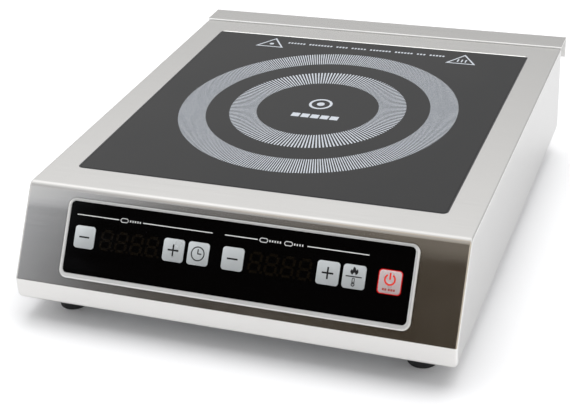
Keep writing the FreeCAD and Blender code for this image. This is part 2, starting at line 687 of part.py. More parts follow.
def heat_sink():
    """Extruded heat sink: two feet on the board, a thick base over the semiconductors, fins along Y."""
    x0, x1, y0, y1 = HEAT_SINK
    base_z = MAIN_TOP + SEMI_T + 0.4
    parts = [
        box(x0, x1, y0, y1, base_z, base_z + 5),
        box(x0, x0 + 4, y0, y1, MAIN_TOP, base_z),
        box(x1 - 4, x1, y0, y1, MAIN_TOP, base_z),
    ]
    fins = 19
    for i in range(fins):
        x = x0 + (x1 - x0 - 1.6) * i / (fins - 1)
        parts.append(box(x, x + 1.6, y0, y1, base_z + 5, base_z + 28))
    return joined(parts)


def power_semiconductors():
    """Two transistors and the bridge rectifier, flat under the heat sink on their thermal pads."""
    sites = [(-46.0, 16.0), (-16.0, 16.0), (16.0, 22.0)]
    return group([centred(w, 21.0, MAIN_TOP + 0.4, MAIN_TOP + 0.4 + SEMI_T, x, -5.0) for x, w in sites])


def boxed_capacitor(x, y, width, depth, height):
    block = centred(width, depth, MAIN_TOP, MAIN_TOP + height, x, y)
    return block.makeFillet(1.0, [e for e in block.Edges if e.BoundBox.ZMax > MAIN_TOP + 1])


def resonant_capacitors():
    return group([boxed_capacitor(x, -28.0, 20.0, 42.0, 32.0) for x in (60.0, 86.0)])


def filter_capacitors():
    """Three boxed mains capacitors and the two electrolytic cans of the low-voltage supply."""
    parts = [
        boxed_capacitor(-30.0, 96.0, 32.0, 18.0, 28.0),
        boxed_capacitor(-30.0, 68.0, 32.0, 18.0, 28.0),
        boxed_capacitor(8.0, 68.0, 26.0, 16.0, 24.0),
    ]
    for x, y in ((40.0, 96.0), (58.0, 96.0)):
        can = disc(x, y, MAIN_TOP, MAIN_TOP + 25, 7.0)
        parts.append(can.makeFillet(1.0, [e for e in can.Edges if e.BoundBox.ZMin > MAIN_TOP + 20]))
    return group(parts)


def filter_choke():
    """Toroidal mains choke, standing on the board."""
    ring = Part.makeTorus(13.0, 7.0, V(-82.0, 50.0, MAIN_TOP + 20.5), V(0, 1, 0))
    pad = centred(24, 16, MAIN_TOP, MAIN_TOP + 2.5, -82.0, 50.0)
    return ring.fuse(pad.cut(ring)).removeSplitter()


def standby_transformer():
    core = centred(24, 26, MAIN_TOP + 4, MAIN_TOP + 20, 50.0, 62.0)
    bobbin = centred(18, 32, MAIN_TOP, MAIN_TOP + 24, 50.0, 62.0)
    return joined([core, bobbin])


def mains_terminal():
    """Three-way screw terminal for the mains cable."""
    block = centred(34, 15, MAIN_TOP, MAIN_TOP + 18, -84.0, 96.0)
    cuts = []
    for x in (-95.0, -84.0, -73.0):
        cuts.append(disc(x, 96.0, MAIN_TOP + 9, MAIN_TOP + 19, 3.2))
        cuts.append(centred(6, 20, MAIN_TOP + 3, MAIN_TOP + 7, x, 101.0))
    return block.cut(Part.makeCompound(cuts))


def fuse_and_relay():
    fuse = Part.makeCylinder(2.6, 22, V(8.0, 88.0, MAIN_TOP + 5.0), V(0, 1, 0))
    relay = centred(20, 16, MAIN_TOP, MAIN_TOP + 16, 90.0, 62.0)
    clips = [centred(7, 3, MAIN_TOP, MAIN_TOP + 5.0, 8.0, y).cut(fuse) for y in (91.0, 107.0)]
    return group([fuse, relay] + clips)


def coil_terminals():
    """Brass posts that the coil's two leads are screwed to."""
    return group([joined([disc(x, y, MAIN_TOP, TERMINAL_TOP, 3.5), disc(x, y, MAIN_TOP, MAIN_TOP + 2, 5.5)])
                  for x, y in TERMINAL_XY])


def coil_leads():
    """The winding's two ends, led down through the carrier to the terminals."""
    end = coil_end()
    (x1, y1), (x2, y2) = TERMINAL_XY
    inner = [(COIL_START_R, GLASS_Y, COIL_Z), (COIL_START_R, GLASS_Y - 6.5, COIL_Z),
             (COIL_START_R, GLASS_Y - 6.5, 68.0), (x1, y1, 65.0), (x1, y1, TERMINAL_TOP)]
    outer = [(end.x, GLASS_Y, COIL_Z), (end.x, GLASS_Y + 15, COIL_Z),
             (end.x, GLASS_Y + 15, 67.0), (x2, y2, 63.0), (x2, y2, TERMINAL_TOP)]
    return group([swept(points, LEAD_BEND_R, LITZ_R) for points in (inner, outer)])


def ribbon_points():
    """The route of the ribbon between the two boards, in the plane of its middle."""
    start = on_panel(Part.Vertex(RIBBON_X, 20.0, BOARD_FACE - BOARD_T - 5.0)).Point
    leave = on_panel(Part.Vertex(RIBBON_X, 20.0, BOARD_FACE - BOARD_T - 16.0)).Point
    return [tuple(start), tuple(leave), (RIBBON_X, -150.0, RIBBON_Z), (RIBBON_X, -54.0, RIBBON_Z),
            (RIBBON_X, -54.0, MAIN_TOP + 6.0)]


def ribbon_cable():
    points = ribbon_points()
    start, ahead = V(*points[0]), V(*points[1])
    across = V(1, 0, 0)
    up = across.cross(ahead - start).normalize()
    corners = [start + across * (sx * RIBBON_W / 2) + up * (sy * 0.5)
               for sx, sy in ((-1, -1), (1, -1), (1, 1), (-1, 1), (-1, -1))]
    return path(points, 5.0).makePipeShell([Part.makePolygon(corners)], True, False)


def ribbon_sockets():
    """One plug and socket at each end of the ribbon."""
    back = BOARD_FACE - BOARD_T
    upper = on_panel(centred(RIBBON_W + 3, 7, back - 5.0, back, RIBBON_X, 20.0))
    lower = centred(RIBBON_W + 3, 7, MAIN_TOP, MAIN_TOP + 6.0, RIBBON_X, -54.0)
    return group([upper, lower])


def signal_leads():
    """Two-core leads to the main board: one from the thermistor, one from each fan."""
    leads = [swept([(0.0, GLASS_Y, THERMISTOR_FOOT), (0.0, GLASS_Y, 69.0), (46.0, 40.0, 69.0),
                    (46.0, 40.0, MAIN_TOP)], 4.0, 1.2)]
    for side in (-1, 1):
        x = side * (FAN_X - 30)
        leads.append(swept([(x, FAN_Y + FAN / 2, 37.0), (x, -55.0, 37.0), (x, -55.0, MAIN_TOP)], 4.0, 1.2))
    return group(leads)


# ---- fans ---------------------------------------------------------------------------------------
def fan_frames():
    """Square frames with the motor seat held on struts over the outlet."""
    top = FLOOR_Z + FAN_T
    frames = []
    for x, y in fan_centres():
        outer = column_fillet(centred(FAN, FAN, FLOOR_Z, top, x, y), 4.0)
        parts = [outer.cut(disc(x, y, FLOOR_Z - 1, top + 1, FAN_BORE_R)), disc(x, y, top - 3, top, FAN_HUB_R)]
        for angle in (45, 135, 225, 315):
            parts.append(turned(box(x + 15, x + FAN_BORE_R + 1, y - 2, y + 2, top - 3, top), angle, x, y))
        parts.append(disc(x, y, top - 14, top - 2, 4.0))
        frame = joined(parts)
        cuts = [disc(x, y, top - 15, top - 1.5, SHAFT_R + SHAFT_GAP)]
        cuts += [disc(x + sx * FAN_HOLE, y + sy * FAN_HOLE, FLOOR_Z - 1, top + 1, 2.2)
                 for sx in (-1, 1) for sy in (-1, 1)]
        for sx in (-1, 1):
            cuts.append(centred(9, FAN - 26, FLOOR_Z + 4, top - 4, x + sx * (FAN / 2), y))
        frames.append(frame.cut(Part.makeCompound(cuts)))
    return group(frames)


def fan_stators():
    """Motor windings around each bearing tube."""
    top = FLOOR_Z + FAN_T
    return group([tube_z(x, y, top - 12, top - 3.2, 12.5, 4.1) for x, y in fan_centres()])


def fan_rotor(x, y):
    """Hub cup with seven pitched blades."""
    top = FLOOR_Z + FAN_T - 4.2
    low = FLOOR_Z + 2.5
    reach = FAN_BORE_R - 1.2
    hub = disc(x, y, low, top, FAN_HUB_R - 0.5)
    hub = hub.makeFillet(2.0, [e for e in hub.Edges if e.BoundBox.ZMax < low + 0.01])
    hub = hub.cut(disc(x, y, low + 2, top + 1, 15.5))
    boss = disc(x, y, low + 1, low + 6, 3.6)
    blade = Part.makeBox(reach - FAN_HUB_R + 8, 22.0, 1.6, V(0, -11.0, -0.8))
    blade.rotate(V(0, 0, 0), V(1, 0, 0), 38)
    blade.translate(V(x + FAN_HUB_R - 2.0, y, (top + low) / 2))
    limit = tube_z(x, y, low + 0.5, top - 0.5, reach, FAN_HUB_R - 1.5)
    blades = [turned(blade, 360.0 * i / FAN_BLADES, x, y).common(limit) for i in range(FAN_BLADES)]
    return joined([hub, boss] + blades).cut(disc(x, y, low + 1.5, low + 8, SHAFT_R))


def fan_shaft(x, y):
    return disc(x, y, FLOOR_Z + 4.0, FLOOR_Z + FAN_T - 2.0, SHAFT_R)


def fan_screws():
    corners = [(sx * FAN_HOLE, sy * FAN_HOLE) for sx in (-1, 1) for sy in (-1, 1)]
    spots = [(x + dx, y + dy) for x, y in fan_centres() for dx, dy in corners]
    return group([pan_screw(x, y, TRAY_Z, *M4_HEAD, FAN_SCREW_R, 12.0) for x, y in spots])


# ---- feet, fasteners and cable entry ------------------------------------------------------------
def feet():
    """Rubber feet, tapered, with a recess for the screw head."""
    made = []
    for x, y in FOOT_XY:
        foot = Part.makeCone(FOOT_R - 1.2, FOOT_R, FOOT_H, V(x, y, 0))
        foot = foot.makeFillet(0.8, [e for e in foot.Edges if e.BoundBox.ZMax < 0.01])
        foot = foot.fuse(disc(x, y, FOOT_H - 1, TRAY_Z, 4.8)).removeSplitter()
        made.append(foot.cut(disc(x, y, -1, FOOT_SCREW_Z, 4.6)).cut(disc(x, y, 0, TRAY_Z + 1, 2.2)))
    return group(made)


def foot_screws():
    return group([pan_screw(x, y, FOOT_SCREW_Z, *M4_HEAD, M4_R, 12.5) for x, y in FOOT_XY])


def foot_nuts():
    return group([hex_nut(x, y, FLOOR_Z) for x, y in FOOT_XY])


def casing_screws():
    """The same screw closes the base and the rear panel."""
    screws = [pan_screw(x, y, FOOT_H, *CASING_HEAD, SCREW_R, 8.0) for x, y in CASING_SCREW_XY]
    for x, z in REAR_SCREW_XZ:
        screw = pan_screw(0, 0, 0, *CASING_HEAD, SCREW_R, 8.0)
        screw.rotate(V(0, 0, 0), V(1, 0, 0), 90)
        screw.translate(V(x, BODY_BACK_Y + SHEET, z))
        screws.append(screw)
    return group(screws)


def cable_gland():
    """Gland body with its dome nut, bored for the mains cable."""
    back = BODY_BACK_Y + SHEET
    dome = gland_disc(11.0, back + 4, GLAND_BACK_Y)
    dome = dome.makeFillet(3.0, [e for e in dome.Edges if e.BoundBox.YMin > GLAND_BACK_Y - 0.01])
    flats = [Part.makeBox(3, 9, 26, V(11.0 * 0.9, back + 4, -13)) for _ in range(6)]
    for i, flat in enumerate(flats):
        flat.rotate(V(0, 0, 0), V(0, 1, 0), 60 * i)
        flat.translate(V(GLAND_X, 0, GLAND_Z))
    dome = dome.cut(Part.makeCompound(flats))
    thread = gland_disc(GLAND_R, GLAND_FRONT_Y, back)
    body = joined([thread, gland_disc(GLAND_FLANGE_R, back, back + 4), dome])
    return body.cut(gland_disc(GLAND_BORE_R, GLAND_FRONT_Y - 1, GLAND_BACK_Y + 1))


def gland_locknut():
    ring = gland_disc(GLAND_FLANGE_R, BODY_BACK_Y - 5, BODY_BACK_Y)
    return ring.cut(gland_disc(GLAND_R + 0.1, BODY_BACK_Y - 6, BODY_BACK_Y + 1))


# ---- assembly -----------------------------------------------------------------------------------
def assembly():
    """Node name to shape, for every sub-part."""
    nodes = {
        "top_casing": top_casing(),
        "rear_lip": rear_lip(),
        "rear_panel": rear_panel(),
        "base_tray": base_tray(),
        "glass_plate": glass_plate(),
        "glass_seal": glass_seal(),
        "glass_support_frame": glass_support_frame(),
        "panel_bezel": panel_bezel(),
        "panel_overlay": panel_overlay(),
        "indicator_lenses": indicator_lenses(),
        "on_off_light_ring": on_off_light_ring(),
        "key_switches": key_switches(),
        "control_board": control_board(),
        "control_chips": control_chips(),
        "digit_displays": displays(),
        "buzzer": buzzer(),
        "coil_winding": coil_winding(),
        "coil_carrier": coil_carrier(),
        "ferrite_bars": ferrite_bars(),
        "mica_sheet": mica_sheet(),
        "thermistor": thermistor(),
        "coil_posts": coil_posts(),
        "coil_nuts": coil_nuts(),
        "coil_springs": coil_springs(),
        "main_board": main_board(),
        "board_standoffs": board_standoffs(),
        "board_screws": board_screws(),
        "heat_sink": heat_sink(),
        "power_semiconductors": power_semiconductors(),
        "resonant_capacitors": resonant_capacitors(),
        "filter_capacitors": filter_capacitors(),
        "filter_choke": filter_choke(),
        "standby_transformer": standby_transformer(),
        "mains_terminal": mains_terminal(),
        "fuse_and_relay": fuse_and_relay(),
        "coil_terminals": coil_terminals(),
        "coil_leads": coil_leads(),
        "ribbon_cable": ribbon_cable(),
        "ribbon_sockets": ribbon_sockets(),
        "signal_leads": signal_leads(),
        "fan_frames": fan_frames(),
        "fan_stators": fan_stators(),
        "fan_screws": fan_screws(),
        "feet": feet(),
        "foot_screws": foot_screws(),
        "foot_nuts": foot_nuts(),
        "casing_screws": casing_screws(),
        "cable_gland": cable_gland(),
        "gland_locknut": gland_locknut(),
    }
    for name, x in KEY_X.items():
        nodes[name] = key(x, ON_OFF_KEY if name == "key_on_off" else KEY)
    for side, (x, y) in zip(("left", "right"), fan_centres()):
        nodes["fan_rotor_" + side] = fan_rotor(x, y)
        nodes["fan_shaft_" + side] = fan_shaft(x, y)
    return nodes


def main():
    os.makedirs("parts", exist_ok=True)
    for name, shape in assembly().items():
        if not shape.isValid():
            print("invalid shape:", name)
        shape.exportStep(os.path.join("parts", name + ".step"))


main()
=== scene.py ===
import json
import math

import bmesh
import bpy
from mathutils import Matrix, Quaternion, Vector


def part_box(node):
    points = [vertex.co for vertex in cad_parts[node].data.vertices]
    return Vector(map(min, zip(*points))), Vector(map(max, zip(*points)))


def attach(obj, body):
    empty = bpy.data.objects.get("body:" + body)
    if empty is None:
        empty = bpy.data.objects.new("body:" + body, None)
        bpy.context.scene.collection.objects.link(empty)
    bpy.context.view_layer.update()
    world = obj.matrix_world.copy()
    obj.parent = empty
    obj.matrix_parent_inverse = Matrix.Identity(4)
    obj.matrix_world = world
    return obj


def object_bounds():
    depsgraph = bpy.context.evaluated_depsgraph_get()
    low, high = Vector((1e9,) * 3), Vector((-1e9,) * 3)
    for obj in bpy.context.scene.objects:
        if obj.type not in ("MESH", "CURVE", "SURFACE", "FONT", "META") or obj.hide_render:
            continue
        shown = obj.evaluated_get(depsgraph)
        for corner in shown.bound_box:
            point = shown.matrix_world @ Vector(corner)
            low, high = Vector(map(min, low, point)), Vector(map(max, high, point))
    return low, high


# Countertop induction hob. Lengths are in metres, apart from printed shapes, which are in millimetres.
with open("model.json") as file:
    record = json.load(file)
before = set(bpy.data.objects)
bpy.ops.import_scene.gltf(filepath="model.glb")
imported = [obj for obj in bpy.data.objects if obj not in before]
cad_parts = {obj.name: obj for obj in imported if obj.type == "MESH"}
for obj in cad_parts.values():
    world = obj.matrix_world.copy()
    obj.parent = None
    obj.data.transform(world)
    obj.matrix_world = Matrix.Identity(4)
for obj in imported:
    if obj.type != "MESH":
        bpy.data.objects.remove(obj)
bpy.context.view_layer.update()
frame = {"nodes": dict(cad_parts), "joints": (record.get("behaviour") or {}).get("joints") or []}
NODES = frame["nodes"]
HOUSING = "housing"
MM = 0.001


def new_object(name, data):
    """Puts an object with this data in the scene."""
    item = bpy.data.objects.new(name, data)
    bpy.context.scene.collection.objects.link(item)
    return item


# ---- the sloped front's own axes ----------------------------------------------------------------
def press_axis():
    """The way that the keys are pressed."""
    for joint in frame["joints"]:
        if joint["name"].startswith("key_"):
            return Vector(joint["axis"]).normalized()
    raise RuntimeError("no key joint")


ACROSS = Vector((1.0, 0.0, 0.0))
OUT = -press_axis()             # out of the sloped front
UP = Vector((0.0, OUT.z, -OUT.y))


def panel_extent(node):
    """(lowest, highest) of a node across, up and out of the sloped front, in millimetres."""
    points = [v.co for v in NODES[node].data.vertices]
    spans = [[p.dot(axis) / MM for p in points] for axis in (ACROSS, UP, OUT)]
    return [min(s) for s in spans], [max(s) for s in spans]


def panel_point(x, y, out):
    """The point that is this far across, up and out of the sloped front, in millimetres."""
    return (ACROSS * x + UP * y + OUT * out) * MM


# ---- camera -------------------------------------------------------------------------------------
CAMERA_AZIMUTH = math.radians(21.88)
CAMERA_ELEVATION = math.radians(28.81)
CAMERA_ROLL = math.radians(3.51)
CAMERA_TARGET = Vector((0.00316, -0.080, 0.0544))
CAMERA_DISTANCE = 0.9862
CAMERA_LENS_MM = 82.49
CAMERA_SENSOR_MM = 36.0
CAMERA_REACH = (0.05, 50.0)     # nearest and farthest that it sees


def add_camera():
    flat = math.cos(CAMERA_ELEVATION)
    back = Vector((
        math.sin(CAMERA_AZIMUTH) * flat,
        -math.cos(CAMERA_AZIMUTH) * flat,
        math.sin(CAMERA_ELEVATION),
    ))
    data = bpy.data.cameras.new("camera")
    data.lens = CAMERA_LENS_MM
    data.sensor_width = CAMERA_SENSOR_MM
    data.clip_start, data.clip_end = CAMERA_REACH
    camera = new_object("camera", data)
    camera.location = CAMERA_TARGET + back * CAMERA_DISTANCE
    camera.rotation_mode = "QUATERNION"
    roll_turn = Quaternion((0, 0, 1), -CAMERA_ROLL)
    camera.rotation_quaternion = (-back).to_track_quat("-Z", "Y") @ roll_turn
    bpy.context.scene.camera = camera


# ---- shader helpers -----------------------------------------------------------------------------
def add(tree, kind, inputs=None, **settings):
    """Adds a node. Each input is a value, or a socket to link from."""
    node = tree.nodes.new(kind)
    for key, value in settings.items():
        setattr(node, key, value)
    for key, value in (inputs or {}).items():
        connect(tree, node.inputs[key], value)
    return node


def connect(tree, socket, value):
    """Links the socket from another one, or sets its value."""
    if isinstance(value, bpy.types.NodeSocket):
        tree.links.new(value, socket)
    elif socket.type == "RGBA":
        socket.default_value = (*value[:3], 1.0)
    else:
        socket.default_value = value


def maths(tree, operation, first, second=0.0, third=0.0):
    node = add(tree, "ShaderNodeMath", {0: first, 1: second, 2: third}, operation=operation)
    return node.outputs[0]


def remap(tree, value, low, high, to_low, to_high, interpolation="LINEAR"):
    """Takes low..high to to_low..to_high, held at the ends."""
    node = add(tree, "ShaderNodeMapRange", {
        "Value": value, "From Min": low, "From Max": high, "To Min": to_low, "To Max": to_high,
    }, interpolation_type=interpolation)
    return node.outputs["Result"]


def fade(tree, value, low, high, to_low=0.0, to_high=1.0):
    """The same, with a soft start and end."""
    return remap(tree, value, low, high, to_low, to_high, "SMOOTHSTEP")


def spread(tree, value, to_low=0.0, to_high=1.0):
    """Takes 0.3..0.7, which is where nearly all of a noise lies, to to_low..to_high."""
    return remap(tree, value, 0.3, 0.7, to_low, to_high)


def product(tree, first, *others):
    for other in others:
        first = maths(tree, "MULTIPLY", first, other)
    return first


def darker(color, share):
    """The colour at this share of its brightness."""
    return tuple(c * share for c in color)


def blend_colors(tree, factor, first, second):
    node = add(tree, "ShaderNodeMix", {"Factor": factor, 6: first, 7: second}, data_type="RGBA")
    return node.outputs[2]


def blend_values(tree, factor, first, second):
    node = add(tree, "ShaderNodeMix", {"Factor": factor, 2: first, 3: second}, data_type="FLOAT")
    return node.outputs[0]


def object_place(tree):
    """Where a point is in the object's own coordinates, which are the hob's."""
    return add(tree, "ShaderNodeTexCoord").outputs["Object"]


def split(tree, vector):
    """The X, Y and Z of a vector."""
    return add(tree, "ShaderNodeSeparateXYZ", {0: vector}).outputs


def facing(tree):
    """The X, Y and Z of the way that a surface faces."""
    return split(tree, add(tree, "ShaderNodeNewGeometry").outputs["Normal"])


def crevice(tree, reach, depth):
    """From 0 in the open to depth in a corner narrower than reach."""
    openness = add(tree, "ShaderNodeAmbientOcclusion", {"Distance": reach}, samples=16).outputs["AO"]
    return remap(tree, openness, 0.50, 0.92, depth, 0.0)


def noise(tree, scale, detail=3.0, roughness=0.5):
    """Noise from 0 to 1. The scale is one number, or one for each axis, in 1/m."""
    scale = (scale, scale, scale) if isinstance(scale, (int, float)) else scale
    where = add(tree, "ShaderNodeVectorMath", {0: object_place(tree), 1: scale}, operation="MULTIPLY")
    node = add(tree, "ShaderNodeTexNoise", {
        "Vector": where.outputs[0], "Scale": 1.0, "Detail": detail, "Roughness": roughness,
    })
    return node.outputs["Fac"]


def cells(tree, scale, channel):
    """A random value for each cell of a cellular pattern."""
    pattern = add(tree, "ShaderNodeTexVoronoi", {
        "Vector": object_place(tree), "Scale": scale,
    }, feature="F1")
    return add(tree, "ShaderNodeSeparateColor", {0: pattern.outputs["Color"]}).outputs[channel]


def bump(tree, height, strength, distance):
    node = add(tree, "ShaderNodeBump", {"Height": height, "Strength": strength, "Distance": distance})
    return node.outputs["Normal"]


def new_material(name):
    material = bpy.data.materials.new(name)
    material.use_nodes = True
    return material, material.node_tree, material.node_tree.nodes["Principled BSDF"]


def feed(tree, shader, **values):
    """Sets the shader's inputs. An underscore in a name stands for a space."""
    for key, value in values.items():
        connect(tree, shader.inputs[key.replace("_", " ")], value)


# ---- materials of the sloped front --------------------------------------------------------------
def height_on_panel(tree):
    """How far up the sloped front a point is, in metres."""
    node = add(tree, "ShaderNodeVectorMath", {0: object_place(tree), 1: UP}, operation="DOT_PRODUCT")
    return node.outputs["Value"]


def roll(tree):
    """Height of the sheet where it starts to roll over, above the control panel, in metres."""
    bezel_top = panel_extent("panel_bezel")[1][1]
    along = maths(tree, "MINIMUM", height_on_panel(tree), (bezel_top + 7.0) * MM)
    return fade(tree, along, (bezel_top - 11.0) * MM, (bezel_top + 15.0) * MM, 0.0, -0.0012)


def bezel_shade(tree):
    """Painted shade on what faces up, and a painted shadow of the casing's bend on the upper run."""
    bezel_top = panel_extent("panel_bezel")[1][1]
    # painted shade: faces that face up are darkened
    dust = remap(tree, facing(tree)[2], 0.65, 0.9, 0.0, 0.95)
    shade = remap(tree, height_on_panel(tree), (bezel_top - 3.5) * MM, (bezel_top - 1.0) * MM, 0.0, 0.75)
    return maths(tree, "MAXIMUM", dust, shade)


def key_shade(tree):
    """Painted light: a key is painted darkest at its foot and palest at its top, standing in for what its
    crowned face reflects.
    """
    low, high = panel_extent("key_power_minus")
    return remap(tree, height_on_panel(tree), low[1] * MM, high[1] * MM, 0.62, 0.0)


def satin(name, color, metallic, shade, coat=0.0):
    """Satin silver plastic, darker by half where shade, a function of the tree, gives 1."""
    material, tree, shader = new_material(name)
    slow = noise(tree, 40.0)
    base = blend_colors(tree, spread(tree, slow), darker(color, 0.95), color)
    base = blend_colors(tree, shade(tree), base, darker(color, 0.5))
    feed(tree, shader, Base_Color=base, Metallic=metallic, Coat_Weight=coat,
         Roughness=spread(tree, slow, 0.27, 0.33),
         Normal=bump(tree, noise(tree, 2000.0, 2.0), 0.01, 0.00002))
    return material


def gloss_window():
    """Gloss black window, back printed, with light dust in the gloss."""
    material, tree, shader = new_material("gloss_window")
    dust = remap(tree, noise(tree, 260.0, 5.0, 0.7), 0.62, 0.80, 0.0, 0.4)
    wipe = noise(tree, (30.0, 120.0, 120.0))
    base = blend_colors(tree, dust, (0.0012, 0.0012, 0.0015), (0.008, 0.008, 0.009))
    feed(tree, shader, Base_Color=base, IOR=1.48, Specular_IOR_Level=0.35,
         Roughness=remap(tree, wipe, 0.3, 0.8, 0.04, 0.13),
         Normal=bump(tree, wipe, 0.02, 0.00004))
    return material


def lit_plastic():
    """Red light guide, a little uneven in its glow."""
    material, tree, shader = new_material("lit_red_guide")
    cloud = noise(tree, 500.0, 2.0)
    glow = blend_colors(tree, cloud, (0.80, 0.004, 0.006), (0.95, 0.010, 0.012))
    feed(tree, shader, Base_Color=(0.45, 0.008, 0.006), Roughness=spread(tree, cloud, 0.2, 0.35),
         Emission_Color=glow, Emission_Strength=0.34, Normal=bump(tree, cloud, 0.05, 0.00005))
    return material


# ---- steel and glass ----------------------------------------------------------------------------
GRAIN = (30.0, 2600.0)          # fine grain of the steel, along it and across it, in 1/m
BANDS = (6.0, 420.0)            # the wider bands in the same grain
GRAIN_HEIGHT = 0.0000012
PAINTED_SIDE_LIGHT = (0.90, 0.90, 0.89)  # painted light and shade: colours that some places of the steel are blended towards
PAINTED_WARM_REFLECTION = (0.78, 0.66, 0.50)
PAINTED_STRIP_SHADE = (0.64, 0.635, 0.62)
PAINTED_NOSE_HIGHLIGHT = (0.96, 0.96, 0.95)
PAINTED_CREVICE_SHADE = (0.05, 0.048, 0.045)
PAINTED_GLINT = (1.0, 1.0, 0.98)        # painted glint: glow that stands in for the light a cut or polished edge gives back


def grain(tree, side, scales):
    """Grain along X, and along Y where side is 1."""
    along, across = scales
    return blend_values(tree, side, noise(tree, (along, across, across), 2.0),
                        noise(tree, (across, along, across), 2.0))


def steel_color(tree, color, fine, wide, smudge):
    """The steel's own colour, with its grain and smudges."""
    shade = maths(tree, "MULTIPLY_ADD", fine, 0.5, maths(tree, "MULTIPLY", wide, 0.5))
    shade = remap(tree, shade, 0.35, 0.65, 0.0, 1.0)
    smudged = remap(tree, smudge, 0.40, 0.75, 0.0, 0.35)
    base = blend_colors(tree, shade, darker(color, 0.955), color)
    return blend_colors(tree, smudged, base, darker(color, 0.92))


def brushed_steel(name, color, roughness=0.205, nose_highlight=0.0):
    """Stainless sheet. The grain runs along X, and along Y on the two sides. The sides are painted paler,
    the sloped front has a painted warm reflection to the right and painted shade in its corners, and the
    lower front strip has painted shade that makes it greyer. The last argument is how much of a painted
    highlight, pale and glowing, the sheet's front-facing nose gets."""
    material, tree, shader = new_material(name)
    x, y, z = facing(tree)
    side = remap(tree, maths(tree, "ABSOLUTE", x), 0.6, 0.8, 0.0, 1.0)
    sloped = product(tree, remap(tree, y, -0.6, -0.4, 1.0, 0.0), remap(tree, z, 0.2, 0.4, 0.0, 1.0))
    strip = remap(tree, y, -0.98, -0.90, 0.5, 0.0)
    nose_highlight_mask = product(tree, remap(tree, y, -0.5, -0.1, nose_highlight, 0.0), remap(tree, z, -0.5, 0.5, 0.6, 1.0))
    to_right = remap(tree, split(tree, object_place(tree))[0], -0.12, 0.10, 0.0, 0.65)
    fine = grain(tree, side, GRAIN)
    wide = grain(tree, side, BANDS)
    smudge = noise(tree, 14.0, 4.0, 0.6)
    base = steel_color(tree, color, fine, wide, smudge)
    # painted light: the two sides are painted paler, for the bright floor that they reflect
    base = blend_colors(tree, product(tree, side, 0.6), base, PAINTED_SIDE_LIGHT)
    # painted reflection: the sloped front is painted warmer towards the right
    base = blend_colors(tree, product(tree, sloped, to_right), base, PAINTED_WARM_REFLECTION)
    # painted shade: the lower front strip is painted greyer
    base = blend_colors(tree, strip, base, PAINTED_STRIP_SHADE)
    # painted shade: the sloped front is darkened in its corners, where the bezel meets it
    base = blend_colors(tree, product(tree, sloped, crevice(tree, 0.0045, 0.65)), base, PAINTED_CREVICE_SHADE)
    # painted highlight: a front-facing nose is painted pale, less metallic and glowing
    base = blend_colors(tree, nose_highlight_mask, base, PAINTED_NOSE_HIGHLIGHT)
    rough = maths(tree, "MULTIPLY_ADD", fine, 0.05, roughness - 0.025)
    rough = maths(tree, "ADD", rough, remap(tree, smudge, 0.3, 0.8, -0.01, 0.04))
    brushed = maths(tree, "MULTIPLY_ADD", wide, 0.6, fine)
    relief = maths(tree, "MULTIPLY_ADD", brushed, GRAIN_HEIGHT, roll(tree))
    feed(tree, shader, Base_Color=base, Metallic=maths(tree, "SUBTRACT", 1.0, nose_highlight_mask), Roughness=rough,
         Specular_Tint=(0.72, 0.72, 0.72), Anisotropic=0.55, Tangent=grain_tangent(tree, side),
         Normal=bump(tree, relief, 1.0, 1.0))
    if nose_highlight:
        # painted highlight: the nose glows a little
        feed(tree, shader, Emission_Color=PAINTED_GLINT, Emission_Strength=product(tree, nose_highlight_mask, 0.25))
    return material


def grain_tangent(tree, side):
    """The direction that the gloss is drawn out in: across the grain, and upwards where side is 1."""
    normal = add(tree, "ShaderNodeNewGeometry").outputs["Normal"]
    level = add(tree, "ShaderNodeVectorMath", {0: normal, 1: (1.0, 0.0, 0.0)}, operation="CROSS_PRODUCT")
    node = add(tree, "ShaderNodeMix", {"Factor": side, 4: level.outputs[0], 5: (0.0, 0.0, 1.0)},
               data_type="VECTOR")
    return node.outputs[1]


def joint_silicone():
    """Dark silicone. Its back run, which faces the front, is painted pale and glowing: a painted
    highlight for the light of the sheet's cut edge.
    """
    material, tree, shader = new_material("seal_silicone")
    glass_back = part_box("glass_plate")[1].y
    y = split(tree, object_place(tree))[1]
    # painted highlight: the seal's back run is painted pale and made to glow
    back = remap(tree, y, glass_back - 0.1 * MM, glass_back + 0.1 * MM, 0.0, 1.0)
    fine = noise(tree, 900.0)
    feed(tree, shader, Base_Color=blend_colors(tree, back, (0.028, 0.028, 0.030), (0.92, 0.92, 0.90)),
         Roughness=spread(tree, fine, 0.42, 0.55), Emission_Color=PAINTED_GLINT,
         Emission_Strength=product(tree, back, 0.35), Normal=bump(tree, fine, 0.12, 0.00008))
    return material


def glass_ceramic():
    """Dark glass with faint wipe marks that only show in the gloss."""
    material, tree, shader = new_material("glass_ceramic")
    cloud = noise(tree, 11.0, 3.0, 0.55)
    wipe = noise(tree, (22.0, 160.0, 160.0), 4.0)
    base = blend_colors(tree, spread(tree, cloud), (0.0030, 0.0033, 0.0040), (0.0065, 0.0062, 0.0066))
    clouded = remap(tree, cloud, 0.35, 0.7, 0.035, 0.085)
    wiped = remap(tree, wipe, 0.55, 0.8, 0.0, 0.04)
    feed(tree, shader, Base_Color=base, Roughness=maths(tree, "ADD", clouded, wiped), IOR=1.5,
         Specular_IOR_Level=0.27, Normal=bump(tree, noise(tree, 900.0, 2.0), 0.02, 0.00001))
    return material


